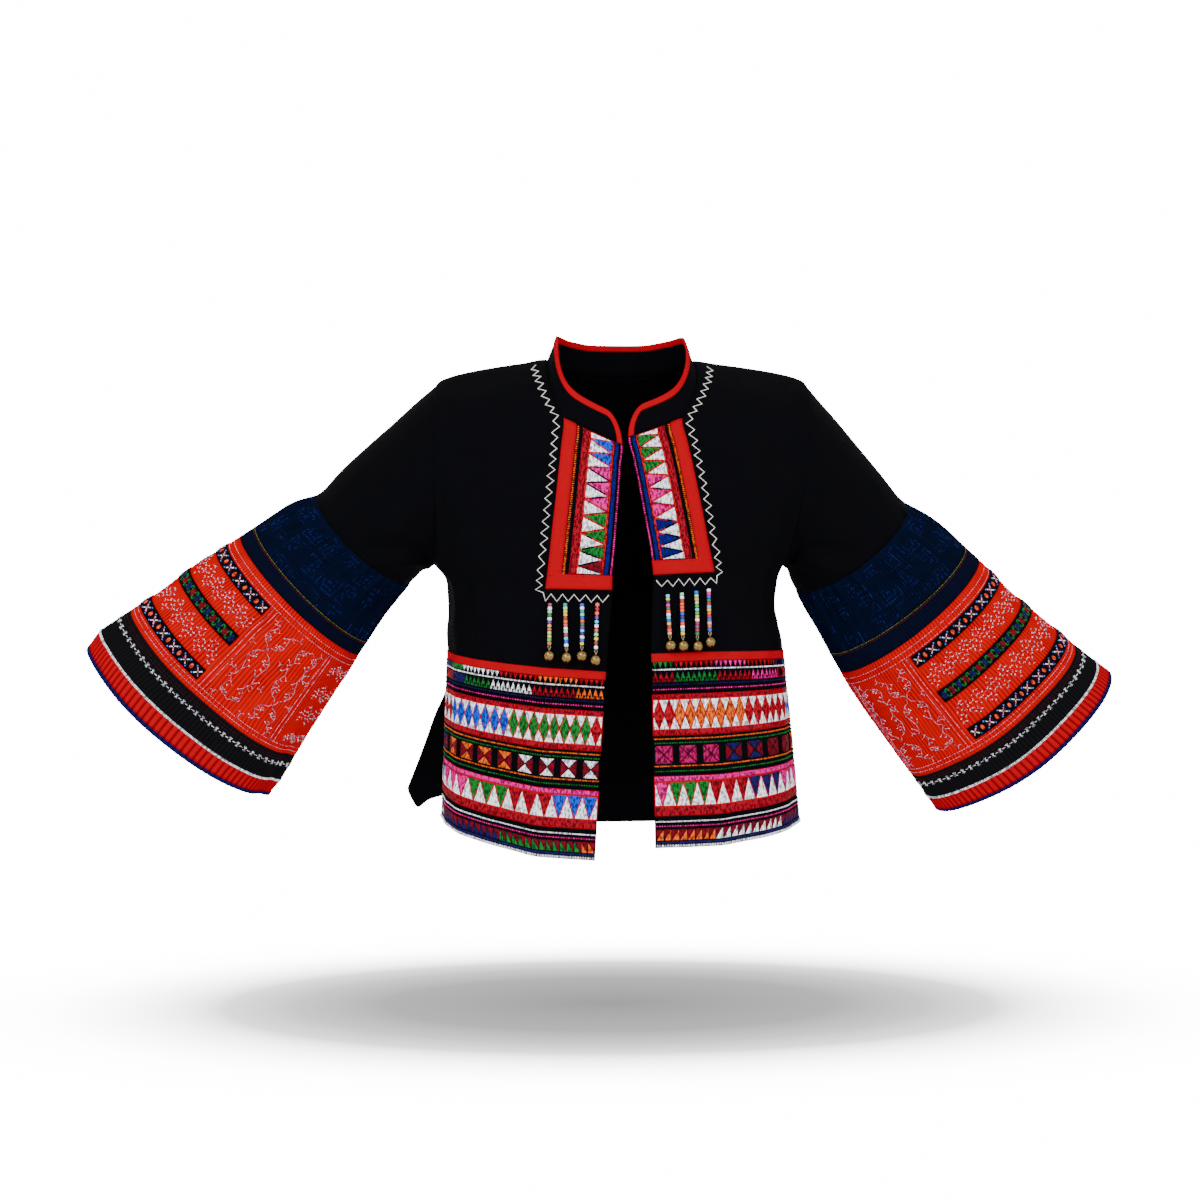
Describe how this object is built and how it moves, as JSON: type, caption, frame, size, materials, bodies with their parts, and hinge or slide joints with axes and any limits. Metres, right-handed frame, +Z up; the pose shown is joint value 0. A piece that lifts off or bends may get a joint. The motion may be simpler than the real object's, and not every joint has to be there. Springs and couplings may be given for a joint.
{
  "type": "embroidered jacket",
  "caption": "Open-fronted jacket with a stand collar, wide pleated sleeves, embroidered waist bands and neck bands, and hanging beads with bells.",
  "frame": {"origin": "middle of the neck opening, level with the shoulder seams, where the wearer or a form holds it up", "axes": "+Z up, the front faces -Y, +X points to the wearer's left"},
  "size_m": [1.1591, 0.2682, 0.5656],
  "materials": {
    "black_cloth": "plain woven black cotton",
    "red_cloth": "red cotton, pleated on the sleeves",
    "indigo_cloth": "indigo batik cotton, finely pleated",
    "blue_cloth": "royal blue piping and couched cord",
    "embroidery": "dense stitched embroidery in several colours",
    "beads": "small glossy round beads",
    "brass": "polished brass"
  },
  "bodies": {
    "root": {"back": "black_cloth", "collar": "black_cloth", "collar_binding": "red_cloth", "front_right": "black_cloth", "placket_border_right": "red_cloth", "placket_ribbon_right": "embroidery", "waist_binding_right": "red_cloth", "waist_teeth_right": "embroidery", "waist_diamonds_right": "embroidery", "waist_hourglass_right": "embroidery", "waist_triangles_right": "embroidery", "waist_small_right": "embroidery", "hem_cord_right": "blue_cloth", "sleeve_upper_right": "black_cloth", "sleeve_batik_right": "indigo_cloth", "sleeve_strip_right": "indigo_cloth", "sleeve_flare_right": "red_cloth", "cuff_band_right": "black_cloth", "cuff_border_right": "red_cloth", "cuff_piping_right": "blue_cloth", "flare_ribbon_right_1": "embroidery", "flare_ribbon_right_2": "embroidery", "flare_ribbon_right_3": "embroidery", "bead_strand_right_1": "beads", "bell_right_1": "brass", "bead_strand_right_2": "beads", "bell_right_2": "brass", "bead_strand_right_3": "beads", "bell_right_3": "brass", "bead_strand_right_4": "beads", "bell_right_4": "brass", "front_left": "black_cloth", "placket_border_left": "red_cloth", "placket_ribbon_left": "embroidery", "waist_binding_left": "red_cloth", "waist_teeth_left": "embroidery", "waist_diamonds_left": "embroidery", "waist_hourglass_left": "embroidery", "waist_triangles_left": "embroidery", "waist_small_left": "embroidery", "hem_cord_left": "blue_cloth", "sleeve_upper_left": "black_cloth", "sleeve_batik_left": "indigo_cloth", "sleeve_strip_left": "indigo_cloth", "sleeve_flare_left": "red_cloth", "cuff_band_left": "black_cloth", "cuff_border_left": "red_cloth", "cuff_piping_left": "blue_cloth", "flare_ribbon_left_1": "embroidery", "flare_ribbon_left_2": "embroidery", "flare_ribbon_left_3": "embroidery", "bead_strand_left_1": "beads", "bell_left_1": "brass", "bead_strand_left_2": "beads", "bell_left_2": "brass", "bead_strand_left_3": "beads", "bell_left_3": "brass", "bead_strand_left_4": "beads", "bell_left_4": "brass"}
  },
  "joints": []
}
